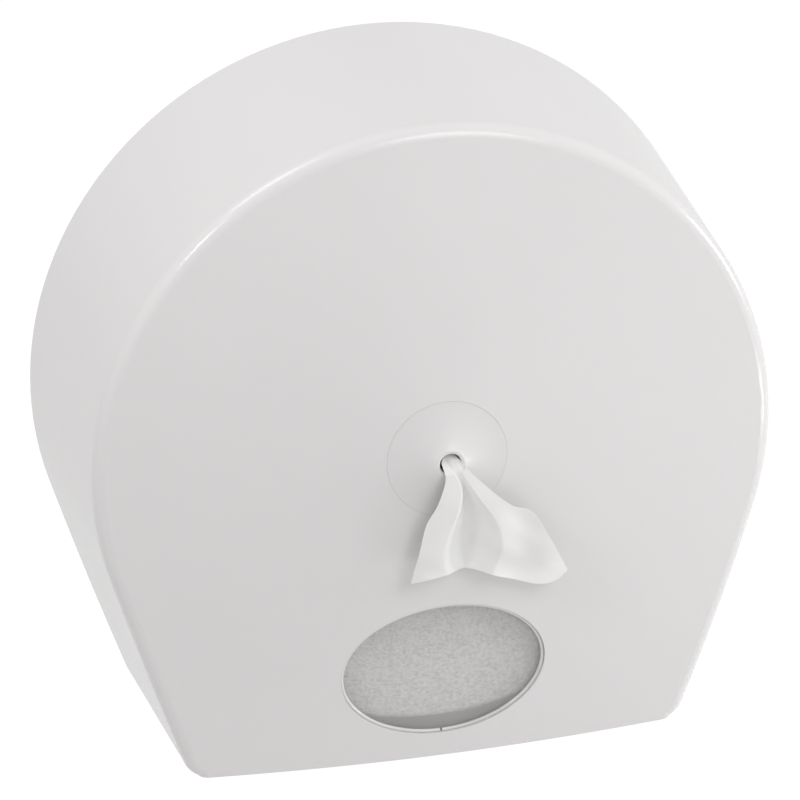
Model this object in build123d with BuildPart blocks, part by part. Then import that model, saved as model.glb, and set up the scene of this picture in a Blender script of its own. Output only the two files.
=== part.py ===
from build123d import *
import os
from math import acos, atan2, cos, hypot, radians, sin, sqrt, tan

# A wall dispenser for centre-pull tissue rolls.
# The wall is the plane Y = 0, the front faces -Y, +Z is up and +X is to the right.
# The origin is the middle of the four wall screws, level with the nozzle.
os.makedirs("parts", exist_ok=True)

# Roll: everything is sized round it
roll_radius = 139.5
roll_width = 103.0
roll_bore_radius = 22.0
roll_edge_radius = 2.5
roll_drop = 1.5
roll_back = 16.0

# Room between the roll and the cover
crown_room = 18.0
floor_room = 17.5
roll_edge_room = 5.35

# Cover outline, seen from the front
cover_wall = 2.5
crown_drop = 5.5
base_inset = 42.8
side_radius = 2500.0
base_corner_radius = 14.0
base_corner_drop = 3.3
draft_angle = 1.07
front_rim_radius = 6.5
wall_gap = 1.5

# Cover front: a shallow dome that falls away from the nozzle
dome_slope = 0.128
dome_bend_radius = 2083.0
dome_margin = 10.0

# Nozzle and the ring that holds it
nozzle_radius = 28.0
nozzle_bore_radius = 5.0
nozzle_lip_radius = 7.2
nozzle_lip_rise = 3.0
nozzle_wall = 2.4
nozzle_flange_radius = 34.0
nozzle_flange_thickness = 2.0
nozzle_ring_inner_radius = 24.0
nozzle_ring_outer_radius = 43.0
nozzle_ring_thickness = 2.0
nozzle_boss_circle = 38.5
nozzle_boss_radius = 3.2
nozzle_screw_count = 3
nozzle_screw_start = 30.0

# Window
window_floor_room = 12.5
window_half_width = 47.9
window_half_height = 34.8
window_lap = 6.0
pane_thickness = 1.8
window_ring_thickness = 2.0
window_ring_margin = 1.0
window_ring_reach = 8.2
window_boss_offset = 2.1
window_boss_inset = 10.8
window_boss_radius = 3.2
window_ear_radius = 5.0

# Small screws
screw_shank_radius = 1.2
screw_head_radius = 2.7
screw_head_height = 1.7
screw_bite = 4.2
pilot_radius = 1.3
pilot_floor = 0.6
pilot_reach = 15.0
screw_hole_radius = 1.6
slot_width = 0.8
slot_depth = 0.8

# Back plate
plate_thickness = 3.0
plate_room = 6.5
plate_rim_width = 2.5
plate_rim_depth = 12.0
tray_side_room = 10.2
tray_top_room = 2.5
tray_hinge_room = 12.0
tray_wall = 2.5
rib_width = 2.5
rib_end_inset = 1.5
hub_outer_radius = 66.5
hub_inner_radius = 64.0
hub_depth = 9.0
wall_screw_spacing_x = 160.0
wall_screw_spacing_z = 120.0
wall_hole_radius = 2.75
wall_boss_radius = 9.0
wall_boss_depth = 5.5

# What carries the roll, and the strand drawn from its middle
strand_tip_radius = 4.2
strand_tip_room = 3.9
strand_root_inset = 29.0
strand_root_length = 10.0
cradle_thickness = 3.0
cradle_front_inset = 9.0
cradle_half_angle = 62.0
cradle_foot_angles = (-32.0, -12.0, 12.0, 32.0)
foot_reach = 14.8
foot_screw_inset = 8.8
foot_half_width = 7.0
foot_thickness = 3.0
clip_angle = 28.0
clip_half_width = 12.0
clip_thickness = 2.0
clip_hook_reach = 5.0
clip_screw_offset = 6.0

# Cover hinge
hinge_depth = 45.0
hinge_rise = 7.0
knuckle_radius = 6.0
tray_knuckle_start = 58.0
knuckle_length = 15.0
knuckle_gap = 0.5
pin_radius = 2.5
pin_overhang = 3.0
pin_head_radius = 4.2
pin_head_thickness = 1.5
hinge_ring_radius = 4.6
hinge_ring_thickness = 1.2
cover_base_gap = 9.0
tray_arm_drop = 5.0
tray_arm_length = 25.0

# Lock in the right side wall
lock_depth = 28.0
housing_radius = 8.0
housing_flange_radius = 10.5
housing_flange_thickness = 1.7
housing_reach = 12.0
barrel_radius = 5.5
barrel_head_radius = 6.5
barrel_head_thickness = 2.6
barrel_proud = 0.4
key_slot_width = 1.2
key_slot_length = 6.5
key_slot_depth = 4.0
lock_nut_radius = 11.5
lock_nut_thickness = 3.0
lock_nut_inset = 1.4
cam_length = 22.0
cam_width = 9.0
cam_hub_radius = 6.0
cam_thickness = 2.0
cam_stem_radius = 3.0
cam_screw_radius = 1.4
cam_screw_head_radius = 3.6
cam_screw_bite = 5.0
catch_clearance = 1.5
catch_height = 18.0
catch_thickness = 2.0
catch_hook = 2.5
catch_hook_depth = 3.0
catch_foot_length = 22.0

# Tissue tail: levels below the nozzle with the left edge, the fold and the right edge
tail_thickness = 0.8
tail_fold_depth = 3.0
tail_levels = (
    (-1.0, -3.6, 0.2, 4.0),
    (-5.0, -3.2, 2.5, 9.2),
    (-12.0, -4.5, 5.0, 17.0),
    (-21.0, -9.6, 7.2, 27.0),
    (-29.0, -13.6, 9.0, 38.5),
    (-40.0, -16.5, 11.0, 44.5),
    (-58.0, -20.8, 12.5, 53.5),
)

# Clearances
running_gap = 0.05
seat_gap = 0.3
glue_gap = 0.15
hole_gap = 0.3

roll_front = roll_back + roll_width
roll_centre_z = -roll_drop
crown_radius = roll_radius + crown_room + cover_wall
crown_centre = -crown_drop
underside = roll_centre_z - roll_radius - floor_room
base_half_width = crown_radius - base_inset
window_centre_z = underside + window_floor_room + window_half_height
window_boss_x = window_half_width + window_boss_offset
window_boss_rise = window_half_height - window_boss_inset
hinge_z = underside + hinge_rise
draft = tan(radians(draft_angle))
dome_reach = hypot(base_half_width, underside) + dome_margin
roll_seat_radius = roll_radius + seat_gap
foot_inner_radius = roll_seat_radius - foot_reach
foot_screw_radius = roll_seat_radius - foot_screw_inset
cradle_depth = roll_front - cradle_front_inset
plate_radius = crown_radius - cover_wall - plate_room
rib_inner_radius = hub_inner_radius
rib_outer_radius = roll_radius - rib_end_inset
tray_half_width = base_half_width - tray_side_room
tray_depth = hinge_depth - tray_hinge_room
tray_top_z = hinge_z + hinge_depth + tray_top_room
cover_base_start = hinge_depth + cover_base_gap
tray_arm_back = hinge_depth - tray_arm_length


def dome_drop(radius):
    """How far the front falls back from its middle, at a distance from the nozzle axis."""
    return dome_slope * radius + radius**2 / (2 * dome_bend_radius)


apex_depth = roll_front + roll_edge_room + cover_wall + dome_drop(roll_radius)


def dome_depth(radius):
    """Depth of the cover's front from the wall, at a distance from the nozzle axis."""
    return apex_depth - dome_drop(radius)


def dome_slab(near, far):
    """A disc that follows the front, from one depth behind its skin to another."""
    with BuildPart() as slab:
        with BuildSketch(Plane.XY):
            with BuildLine():
                front, back = [
                    ThreePointArc(
                        *[(r, behind - dome_depth(r)) for r in (0, dome_reach / 2, dome_reach)]
                    )
                    for behind in (near, far)
                ]
                Line(front @ 0, back @ 0)
                Line(front @ 1, back @ 1)
            make_face()
        revolve(axis=Axis.Y)
    return slab.part


def side_circle():
    """Centre of the side arc, and the angle at which it meets the crown arc."""
    px, pz = base_half_width, underside - crown_centre
    away = hypot(px, pz)
    along = (away**2 + crown_radius**2 - 2 * crown_radius * side_radius) / (
        2 * (crown_radius - side_radius)
    )
    angle = atan2(pz, px) + acos(along / away)
    shift = crown_radius - side_radius
    return shift * cos(angle), crown_centre + shift * sin(angle), angle


side_centre_x, side_centre_z, side_angle = side_circle()


def side_x(height, inset):
    """Half the outline's width on the side arc, at a height."""
    return side_centre_x + sqrt((side_radius - inset) ** 2 - (height - side_centre_z) ** 2)


def outline(inset):
    """The outline at the cover's back edge, set in by a wall."""
    radius = crown_radius - inset
    join = (radius * cos(side_angle), crown_centre + radius * sin(side_angle))
    foot_z = underside - base_corner_drop + inset
    middle_z = (join[1] + foot_z) / 2
    with BuildSketch(mode=Mode.PRIVATE) as shape:
        with BuildLine():
            ThreePointArc(join, (0, crown_centre + radius), (-join[0], join[1]))
            for side in (1, -1):
                ThreePointArc(
                    (side * join[0], join[1]),
                    (side * side_x(middle_z, inset), middle_z),
                    (side * side_x(foot_z, inset), foot_z),
                )
            Line((side_x(foot_z, inset), foot_z), (-side_x(foot_z, inset), foot_z))
        make_face()
        fillet(shape.vertices().group_by(Axis.Y)[0], base_corner_radius - inset)
    return shape.sketch


def cover_form(inset):
    """The drafted body of the cover with its domed front, set in by a wall."""
    with BuildPart() as form:
        with BuildSketch(Plane.XZ.offset(wall_gap)):
            add(outline(inset))
        extrude(amount=apex_depth, taper=draft_angle)
        add(dome_slab(inset, apex_depth), mode=Mode.INTERSECT)
        floor = underside + inset
        split(bisect_by=Plane.XY.offset(floor), keep=Keep.TOP)
        front = form.faces().sort_by(Axis.Y)[0]
        rim = front.edges().filter_by(lambda edge: edge.center().Z > floor + 1)
        fillet(rim, front_rim_radius - inset)
    return form.part


outer_form = cover_form(0)
inner_form = cover_form(cover_wall)

window_bosses = [
    (side * window_boss_x, window_centre_z + rise)
    for side in (1, -1)
    for rise in (window_boss_rise, -window_boss_rise)
]
nozzle_boss_angles = [
    nozzle_screw_start + 360 / nozzle_screw_count * i for i in range(nozzle_screw_count)
]
nozzle_bosses = [
    (nozzle_boss_circle * cos(radians(a)), nozzle_boss_circle * sin(radians(a)))
    for a in nozzle_boss_angles
]
pane_back = cover_wall + glue_gap + pane_thickness
window_ring_front = pane_back + glue_gap
window_ring_back = window_ring_front + window_ring_thickness
nozzle_seat_depth = dome_depth(nozzle_flange_radius) - cover_wall - glue_gap
nozzle_flange_back = nozzle_seat_depth - nozzle_flange_thickness
nozzle_ring_front = nozzle_flange_back - glue_gap
nozzle_ring_back = nozzle_ring_front - nozzle_ring_thickness
strand_tip_depth = nozzle_ring_back - strand_tip_room
strand_root_depth = roll_front - strand_root_inset
strand_shoulder_depth = strand_root_depth + strand_root_length
window_boss_slab = dome_slab(cover_wall / 2, window_ring_front - glue_gap / 2)

# Lock planes, counted along +X from the outer face of the side wall at the lock
wall_face_x = crown_radius - draft * (lock_depth - housing_flange_radius)
housing_seat_x = wall_face_x + seat_gap / 2
housing_front_x = housing_seat_x + housing_flange_thickness
housing_back_x = housing_seat_x - housing_reach
barrel_back_x = housing_back_x - seat_gap
cam_front_x = barrel_back_x - running_gap
cam_back_x = cam_front_x - cam_thickness

# Cover
cover_knuckle_start = tray_knuckle_start + knuckle_length + knuckle_gap
with BuildPart() as front_cover:
    add(outer_form)
    add(inner_form, mode=Mode.SUBTRACT)
    # window and nozzle openings
    with BuildSketch(Plane.XZ.offset(dome_depth(dome_reach) - 2 * cover_wall)):
        with Locations((0, window_centre_z)):
            Ellipse(window_half_width, window_half_height)
        Circle(nozzle_radius)
    extrude(amount=apex_depth, mode=Mode.SUBTRACT)
    # bosses for the window ring
    with BuildSketch(Plane.XZ.offset(dome_depth(dome_reach) - 4 * cover_wall)):
        with Locations(*window_bosses):
            Circle(window_boss_radius)
    boss_prism = extrude(amount=apex_depth, mode=Mode.PRIVATE)
    add(boss_prism & window_boss_slab)
    # bosses for the nozzle ring
    with BuildSketch(Plane.XZ.offset(nozzle_ring_front + glue_gap)):
        with Locations(*nozzle_bosses):
            Circle(nozzle_boss_radius)
    extrude(amount=dome_depth(nozzle_boss_circle) - nozzle_ring_front - cover_wall)
    # pilot holes
    for x, z in window_bosses + nozzle_bosses:
        top = dome_depth(hypot(x, z)) - cover_wall / 2
        with BuildSketch(Plane.XZ.offset(top)):
            with Locations((x, z)):
                Circle(pilot_radius)
        extrude(amount=-pilot_reach, mode=Mode.SUBTRACT)
    # the underside is open behind the hinge line
    with BuildSketch(Plane.XY.offset(underside - base_corner_drop)):
        with Locations((0, -cover_base_start / 2)):
            Rectangle(2 * tray_half_width + 6, cover_base_start)
    extrude(amount=base_corner_drop + 2 * cover_wall, mode=Mode.SUBTRACT)
    # hinge knuckles and the webs that carry them
    for side in (1, -1):
        start = cover_knuckle_start if side > 0 else -cover_knuckle_start - knuckle_length
        with BuildSketch(Plane.YZ.offset(start)):
            with Locations((-hinge_depth, hinge_z)):
                Circle(knuckle_radius)
            with Locations((-hinge_depth - knuckle_radius - 3, underside + hinge_rise / 2)):
                Rectangle(2 * knuckle_radius + 6, hinge_rise)
        extrude(amount=knuckle_length)
        with BuildSketch(Plane.YZ.offset(start)):
            with Locations((-hinge_depth, hinge_z)):
                Circle(pin_radius + running_gap)
        extrude(amount=knuckle_length, mode=Mode.SUBTRACT)
    # hole for the lock
    with BuildSketch(Plane.YZ.offset(housing_back_x)):
        with Locations((-lock_depth, 0)):
            Circle(housing_radius + hole_gap)
    extrude(amount=2 * housing_reach, mode=Mode.SUBTRACT)
front_cover.part.label = "front_cover"
export_step(front_cover.part, "parts/front_cover.step")

# Window pane
with BuildPart() as window_pane:
    with BuildSketch(Plane.XZ.offset(dome_depth(dome_reach) - 4 * cover_wall)):
        with Locations((0, window_centre_z)):
            Ellipse(window_half_width + window_lap, window_half_height + window_lap)
    extrude(amount=apex_depth)
    add(dome_slab(cover_wall + glue_gap, pane_back), mode=Mode.INTERSECT)
window_pane.part.label = "window_pane"
export_step(window_pane.part, "parts/window_pane.step")

# Ring that clamps the pane, with an ear at each boss
with BuildPart() as window_ring:
    with BuildSketch(Plane.XZ.offset(dome_depth(dome_reach) - 4 * cover_wall)):
        with Locations((0, window_centre_z)):
            Ellipse(
                window_half_width + window_ring_reach,
                window_half_height + window_ring_reach,
            )
        with Locations(*window_bosses):
            Circle(window_ear_radius)
        with Locations((0, window_centre_z)):
            Ellipse(
                window_half_width + window_ring_margin,
                window_half_height + window_ring_margin,
                mode=Mode.SUBTRACT,
            )
        with Locations(*window_bosses):
            Circle(screw_hole_radius, mode=Mode.SUBTRACT)
    extrude(amount=apex_depth)
    add(dome_slab(window_ring_front, window_ring_back), mode=Mode.INTERSECT)
window_ring.part.label = "window_ring"
export_step(window_ring.part, "parts/window_ring.step")


def screw_along_y(x, z, seat):
    """A screw whose head lies on the wall side of a seat and whose shank points forward."""
    with BuildPart() as screw:
        with BuildSketch(Plane.XZ.offset(seat)):
            with Locations((x, z)):
                Circle(screw_head_radius)
        extrude(amount=-screw_head_height)
        with BuildSketch(Plane.XZ.offset(seat)):
            with Locations((x, z)):
                Circle(screw_shank_radius)
        extrude(amount=screw_bite)
        with BuildSketch(Plane.XZ.offset(seat - screw_head_height)):
            with Locations((x, z)):
                Rectangle(2 * screw_head_radius, slot_width)
        extrude(amount=slot_depth, mode=Mode.SUBTRACT)
    return screw.part


with BuildPart() as window_screws:
    for x, z in window_bosses:
        slope = dome_depth(hypot(x, z)) - dome_depth(hypot(x, z) + screw_head_radius)
        add(screw_along_y(x, z, dome_depth(hypot(x, z)) - window_ring_back - slope - glue_gap))
window_screws.part.label = "window_screws"
export_step(window_screws.part, "parts/window_screws.step")

# Nozzle: a flared, round insert with the tissue bore in its tip
with BuildPart() as nozzle:
    edge_radius = nozzle_radius - glue_gap
    lip_depth = apex_depth + nozzle_lip_rise
    with BuildSketch(Plane.XY):
        with BuildLine():
            flare = ThreePointArc(
                (edge_radius, -dome_depth(edge_radius)),
                (
                    (edge_radius + nozzle_lip_radius) / 2,
                    -(dome_depth(edge_radius) + 0.32 * (lip_depth - dome_depth(edge_radius))),
                ),
                (nozzle_lip_radius, -lip_depth + 0.5),
            )
            lip = ThreePointArc(
                flare @ 1,
                ((nozzle_lip_radius + nozzle_bore_radius) / 2, -lip_depth),
                (nozzle_bore_radius, -lip_depth + 0.6),
            )
            throat = Line(lip @ 1, (nozzle_bore_radius, -lip_depth + 2 * nozzle_wall))
            funnel = ThreePointArc(
                throat @ 1,
                (
                    (edge_radius + nozzle_bore_radius) / 2,
                    -(dome_depth(edge_radius) + nozzle_seat_depth) / 2 + nozzle_wall / 4,
                ),
                (nozzle_ring_inner_radius - 1, -nozzle_seat_depth + nozzle_wall / 2),
            )
            Polyline(
                funnel @ 1,
                (nozzle_ring_inner_radius - 1, -nozzle_flange_back),
                (nozzle_flange_radius, -nozzle_flange_back),
                (nozzle_flange_radius, -nozzle_seat_depth),
                (edge_radius, -(dome_depth(edge_radius) - cover_wall - glue_gap)),
                (edge_radius, -dome_depth(edge_radius)),
            )
        make_face()
    revolve(axis=Axis.Y)
nozzle.part.label = "nozzle"
export_step(nozzle.part, "parts/nozzle.step")

# Ring that holds the nozzle from behind
with BuildPart() as nozzle_ring:
    with BuildSketch(Plane.XZ.offset(nozzle_ring_back)):
        Circle(nozzle_ring_outer_radius)
        Circle(nozzle_ring_inner_radius, mode=Mode.SUBTRACT)
        with Locations(*nozzle_bosses):
            Circle(screw_hole_radius, mode=Mode.SUBTRACT)
    extrude(amount=nozzle_ring_thickness)
nozzle_ring.part.label = "nozzle_ring"
export_step(nozzle_ring.part, "parts/nozzle_ring.step")

with BuildPart() as nozzle_screws:
    for x, z in nozzle_bosses:
        add(screw_along_y(x, z, nozzle_ring_back))
nozzle_screws.part.label = "nozzle_screws"
export_step(nozzle_screws.part, "parts/nozzle_screws.step")

# Lock housing, fixed through the side wall
with BuildPart() as lock_housing:
    with BuildSketch(Plane.YZ.offset(housing_back_x)):
        with Locations((-lock_depth, 0)):
            Circle(housing_radius)
    extrude(amount=housing_reach)
    with BuildSketch(Plane.YZ.offset(housing_seat_x)):
        with Locations((-lock_depth, 0)):
            Circle(housing_flange_radius)
    extrude(amount=housing_flange_thickness)
    chamfer(lock_housing.faces().sort_by(Axis.X)[-1].edges(), housing_flange_thickness / 3)
    with BuildSketch(Plane.YZ.offset(housing_back_x)):
        with Locations((-lock_depth, 0)):
            Circle(barrel_radius + running_gap)
    extrude(amount=2 * housing_reach, mode=Mode.SUBTRACT)
    with BuildSketch(Plane.YZ.offset(housing_front_x)):
        with Locations((-lock_depth, 0)):
            Circle(barrel_head_radius + running_gap)
    extrude(amount=-barrel_head_thickness, mode=Mode.SUBTRACT)
lock_housing.part.label = "lock_housing"
export_step(lock_housing.part, "parts/lock_housing.step")

# Nut that clamps the housing on the inside of the wall
with BuildPart() as lock_nut:
    with BuildSketch(Plane.YZ.offset(wall_face_x - cover_wall - lock_nut_inset)):
        with Locations((-lock_depth, 0)):
            RegularPolygon(lock_nut_radius, 6)
            Circle(housing_radius + running_gap, mode=Mode.SUBTRACT)
    extrude(amount=-lock_nut_thickness)
lock_nut.part.label = "lock_nut"
export_step(lock_nut.part, "parts/lock_nut.step")

# Lock barrel, turned by the key
with BuildPart() as lock_barrel:
    barrel_front_x = housing_front_x + barrel_proud
    head_back_x = housing_front_x - barrel_head_thickness + running_gap
    with BuildSketch(Plane.YZ.offset(barrel_back_x)):
        with Locations((-lock_depth, 0)):
            Circle(barrel_radius)
    extrude(amount=head_back_x - barrel_back_x)
    with BuildSketch(Plane.YZ.offset(head_back_x)):
        with Locations((-lock_depth, 0)):
            Circle(barrel_head_radius)
    extrude(amount=barrel_front_x - head_back_x)
    with BuildSketch(Plane.YZ.offset(barrel_front_x)):
        with Locations((-lock_depth, 0)):
            Rectangle(key_slot_width, key_slot_length)
    extrude(amount=-key_slot_depth, mode=Mode.SUBTRACT)
    # stem for the cam, drilled for its screw
    with BuildSketch(Plane.YZ.offset(barrel_back_x)):
        with Locations((-lock_depth, 0)):
            Circle(cam_stem_radius)
    extrude(amount=-(cam_thickness - running_gap))
    with BuildSketch(Plane.YZ.offset(cam_back_x)):
        with Locations((-lock_depth, 0)):
            Circle(cam_screw_radius + running_gap)
    extrude(amount=cam_thickness + cam_screw_bite, mode=Mode.SUBTRACT)
lock_barrel.part.label = "lock_barrel"
export_step(lock_barrel.part, "parts/lock_barrel.step")

# Cam on the barrel, pointing up when locked
with BuildPart() as lock_cam:
    with BuildSketch(Plane.YZ.offset(cam_back_x)):
        with Locations((-lock_depth, 0)):
            Circle(cam_hub_radius)
        with Locations((-lock_depth, cam_length / 2)):
            Rectangle(cam_width, cam_length)
        with Locations((-lock_depth, 0)):
            Circle(cam_stem_radius + running_gap, mode=Mode.SUBTRACT)
    extrude(amount=cam_thickness)
lock_cam.part.label = "lock_cam"
export_step(lock_cam.part, "parts/lock_cam.step")

with BuildPart() as cam_screw:
    with BuildSketch(Plane.YZ.offset(cam_back_x - running_gap)):
        with Locations((-lock_depth, 0)):
            Circle(cam_screw_head_radius)
    extrude(amount=-screw_head_height)
    with BuildSketch(Plane.YZ.offset(cam_back_x - running_gap)):
        with Locations((-lock_depth, 0)):
            Circle(cam_screw_radius)
    extrude(amount=cam_thickness + cam_screw_bite)
cam_screw.part.label = "cam_screw"
export_step(cam_screw.part, "parts/cam_screw.step")

# Tissue tail: a neck through the bore, then a thin sheet that fans out and hangs in two folds
with BuildPart() as tissue_tail:
    neck_radius = nozzle_bore_radius - seat_gap
    sheet_depth = apex_depth + nozzle_lip_rise + seat_gap + tail_thickness
    with BuildSketch(Plane.XZ.offset(nozzle_flange_back)):
        Circle(neck_radius)
    extrude(amount=sheet_depth + tail_fold_depth - nozzle_flange_back)
    for level, left, fold, right in tail_levels:
        spread = min(1.0, -level / 20)
        crest = sheet_depth + tail_fold_depth * (0.4 + 0.6 * spread)
        ridge = (fold + right) / 2
        front = [(left, crest), (fold, sheet_depth), (ridge, crest), (right, sheet_depth + 1.0)]
        with BuildSketch(Plane.XY.offset(level)):
            with BuildLine():
                outer = [(x, -y - tail_thickness) for x, y in front]
                inner = [(x, -y) for x, y in reversed(front)]
                Polyline(*outer, *inner, close=True)
            make_face()
    loft(ruled=True)
tissue_tail.part.label = "tissue_tail"
export_step(tissue_tail.part, "parts/tissue_tail.step")

# Places of the screws in the back plate
wall_screw_points = GridLocations(wall_screw_spacing_x, wall_screw_spacing_z, 2, 2)
catch_x = cam_back_x
catch_low = cam_length + catch_clearance


def foot_point(angle, offset_along=0.0):
    """Where a foot's screw stands, seen from the front."""
    turn = radians(angle)
    return (
        foot_screw_radius * cos(turn) - offset_along * sin(turn),
        roll_centre_z + foot_screw_radius * sin(turn) + offset_along * cos(turn),
    )


cradle_points = [foot_point(angle - 90) for angle in cradle_foot_angles]
clip_points = [
    foot_point(angle, offset_along)
    for angle in (clip_angle, 180 - clip_angle)
    for offset_along in (-clip_screw_offset, clip_screw_offset)
]
catch_points = [
    (catch_x - catch_foot_length / 2, catch_low + rise * catch_height) for rise in (0.3, 0.7)
]

# Back plate with its rim, ribs, lower tray and hinge arms
with BuildPart() as back_plate:
    with BuildSketch(Plane.XZ):
        with Locations((0, crown_centre)):
            Circle(plate_radius)
        with Locations((0, tray_top_z)):
            Rectangle(
                2 * plate_radius,
                plate_radius,
                align=(Align.CENTER, Align.MAX),
                mode=Mode.SUBTRACT,
            )
            Rectangle(
                2 * tray_half_width,
                tray_top_z - underside,
                align=(Align.CENTER, Align.MAX),
            )
    extrude(amount=plate_thickness)
    # rim round the upper part
    with BuildSketch(Plane.XZ):
        with Locations((0, crown_centre)):
            Circle(plate_radius)
            Circle(plate_radius - plate_rim_width, mode=Mode.SUBTRACT)
        with Locations((0, tray_top_z)):
            Rectangle(
                2 * plate_radius,
                plate_radius,
                align=(Align.CENTER, Align.MAX),
                mode=Mode.SUBTRACT,
            )
    extrude(amount=plate_rim_depth)
    # cheeks and floor of the lower tray
    with BuildSketch(Plane.XZ):
        with Locations((0, underside)):
            Rectangle(
                2 * tray_half_width,
                tray_top_z - underside,
                align=(Align.CENTER, Align.MIN),
            )
        with Locations((0, underside + tray_wall)):
            Rectangle(
                2 * (tray_half_width - tray_wall),
                tray_top_z - underside,
                align=(Align.CENTER, Align.MIN),
                mode=Mode.SUBTRACT,
            )
    extrude(amount=tray_depth)
    # ribs that the roll's back rests on, and a hub ring
    with BuildSketch(Plane.XZ):
        with PolarLocations((rib_inner_radius + rib_outer_radius) / 2, 4, start_angle=45):
            Rectangle(rib_outer_radius - rib_inner_radius, rib_width)
    extrude(amount=roll_back - seat_gap)
    with BuildSketch(Plane.XZ):
        Circle(hub_outer_radius)
        Circle(hub_inner_radius, mode=Mode.SUBTRACT)
    extrude(amount=hub_depth)
    # raised seats round the wall screws
    with BuildSketch(Plane.XZ):
        with wall_screw_points:
            Circle(wall_boss_radius)
    extrude(amount=wall_boss_depth)
    with BuildSketch(Plane.XZ):
        with wall_screw_points:
            Circle(wall_hole_radius)
    extrude(amount=wall_boss_depth, mode=Mode.SUBTRACT)
    # notch in the rim beside the catch
    with BuildSketch(Plane.XZ.offset(plate_thickness)):
        with Locations((plate_radius, catch_low - 2)):
            Rectangle(
                plate_radius / 4,
                catch_height + 4,
                align=(Align.MAX, Align.MIN),
            )
    extrude(amount=plate_rim_depth, mode=Mode.SUBTRACT)
    # hinge arms with their knuckles
    for side in (1, -1):
        start = tray_knuckle_start if side > 0 else -tray_knuckle_start - knuckle_length
        with BuildSketch(Plane.YZ.offset(start)):
            with Locations((-hinge_depth, hinge_z)):
                Circle(knuckle_radius - 1)
            with Locations((-tray_arm_back, hinge_z)):
                Rectangle(
                    hinge_depth - tray_arm_back,
                    2 * tray_arm_drop,
                    align=(Align.MAX, Align.CENTER),
                )
        extrude(amount=knuckle_length)
        with BuildSketch(Plane.YZ.offset(start)):
            with Locations((-hinge_depth, hinge_z)):
                Circle(pin_radius + running_gap)
        extrude(amount=knuckle_length, mode=Mode.SUBTRACT)
    # pilot holes for the catch, the cradle and the clips
    with BuildSketch(Plane.XZ.offset(plate_thickness)):
        with Locations(*cradle_points, *clip_points, *catch_points):
            Circle(pilot_radius)
    extrude(amount=-(plate_thickness - pilot_floor), mode=Mode.SUBTRACT)
back_plate.part.label = "back_plate"
export_step(back_plate.part, "parts/back_plate.step")


# Cradle: a curved shelf that the roll lies on
shelf_back = plate_thickness + glue_gap
with BuildPart() as roll_cradle:
    outer_radius = roll_seat_radius + cradle_thickness
    with BuildSketch(Plane.XZ.offset(shelf_back)):
        with BuildLine():
            for radius in (roll_seat_radius, outer_radius):
                CenterArc(
                    (0, roll_centre_z),
                    radius,
                    -90 - cradle_half_angle,
                    2 * cradle_half_angle,
                )
            for turn in (radians(-90 - cradle_half_angle), radians(-90 + cradle_half_angle)):
                Line(
                    (roll_seat_radius * cos(turn), roll_centre_z + roll_seat_radius * sin(turn)),
                    (outer_radius * cos(turn), roll_centre_z + outer_radius * sin(turn)),
                )
        make_face()
    extrude(amount=cradle_depth - shelf_back)
    # feet behind the roll
    with BuildSketch(Plane.XZ.offset(shelf_back)):
        with Locations((0, roll_centre_z)):
            for angle in cradle_foot_angles:
                with Locations(Location((0, 0, 0), (0, 0, angle - 90))):
                    with Locations((foot_inner_radius, 0)):
                        Rectangle(
                            roll_seat_radius + cradle_thickness / 2 - foot_inner_radius,
                            2 * foot_half_width,
                            align=(Align.MIN, Align.CENTER),
                        )
    extrude(amount=foot_thickness)
    with BuildSketch(Plane.XZ.offset(shelf_back)):
        with Locations(*cradle_points):
            Circle(screw_hole_radius)
    extrude(amount=foot_thickness, mode=Mode.SUBTRACT)
roll_cradle.part.label = "roll_cradle"
export_step(roll_cradle.part, "parts/roll_cradle.step")


def screw_into_plate(x, z, seat):
    """A screw whose head lies on the room side of a seat and whose shank points at the wall."""
    with BuildPart() as screw:
        with BuildSketch(Plane.XZ.offset(seat)):
            with Locations((x, z)):
                Circle(screw_head_radius)
        extrude(amount=screw_head_height)
        with BuildSketch(Plane.XZ.offset(seat)):
            with Locations((x, z)):
                Circle(screw_shank_radius)
        extrude(amount=-(seat - pilot_floor - seat_gap))
        with BuildSketch(Plane.XZ.offset(seat + screw_head_height)):
            with Locations((x, z)):
                Rectangle(2 * screw_head_radius, slot_width)
        extrude(amount=-slot_depth, mode=Mode.SUBTRACT)
    return screw.part


foot_seat = shelf_back + foot_thickness + running_gap
with BuildPart() as cradle_screws:
    for x, z in cradle_points:
        add(screw_into_plate(x, z, foot_seat))
cradle_screws.part.label = "cradle_screws"
export_step(cradle_screws.part, "parts/cradle_screws.step")

# Clips that hold the roll at its sides, one a mirror of the other
with BuildPart() as right_clip:
    arm_inner = roll_seat_radius
    arm_outer = arm_inner + clip_thickness
    clip_plane = Plane(
        origin=(0, 0, roll_centre_z),
        x_dir=(cos(radians(clip_angle)), 0, sin(radians(clip_angle))),
        z_dir=(0, -1, 0),
    )
    with BuildSketch(clip_plane.offset(shelf_back)):
        with Locations((arm_inner, 0)):
            Rectangle(clip_thickness, 2 * clip_half_width, align=(Align.MIN, Align.CENTER))
    extrude(amount=roll_front + seat_gap + clip_thickness - shelf_back)
    # hook in front of the roll
    with BuildSketch(clip_plane.offset(roll_front + seat_gap)):
        with Locations((arm_outer, 0)):
            Rectangle(
                clip_thickness + clip_hook_reach,
                2 * clip_half_width,
                align=(Align.MAX, Align.CENTER),
            )
    extrude(amount=clip_thickness)
    # foot on the plate
    with BuildSketch(clip_plane.offset(shelf_back)):
        with Locations((foot_inner_radius, 0)):
            Rectangle(
                arm_outer - foot_inner_radius,
                2 * clip_half_width,
                align=(Align.MIN, Align.CENTER),
            )
        with Locations((foot_screw_radius, 0)):
            with GridLocations(1, 2 * clip_screw_offset, 1, 2):
                Circle(screw_hole_radius, mode=Mode.SUBTRACT)
    extrude(amount=foot_thickness)
right_clip.part.label = "right_clip"
export_step(right_clip.part, "parts/right_clip.step")

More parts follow.
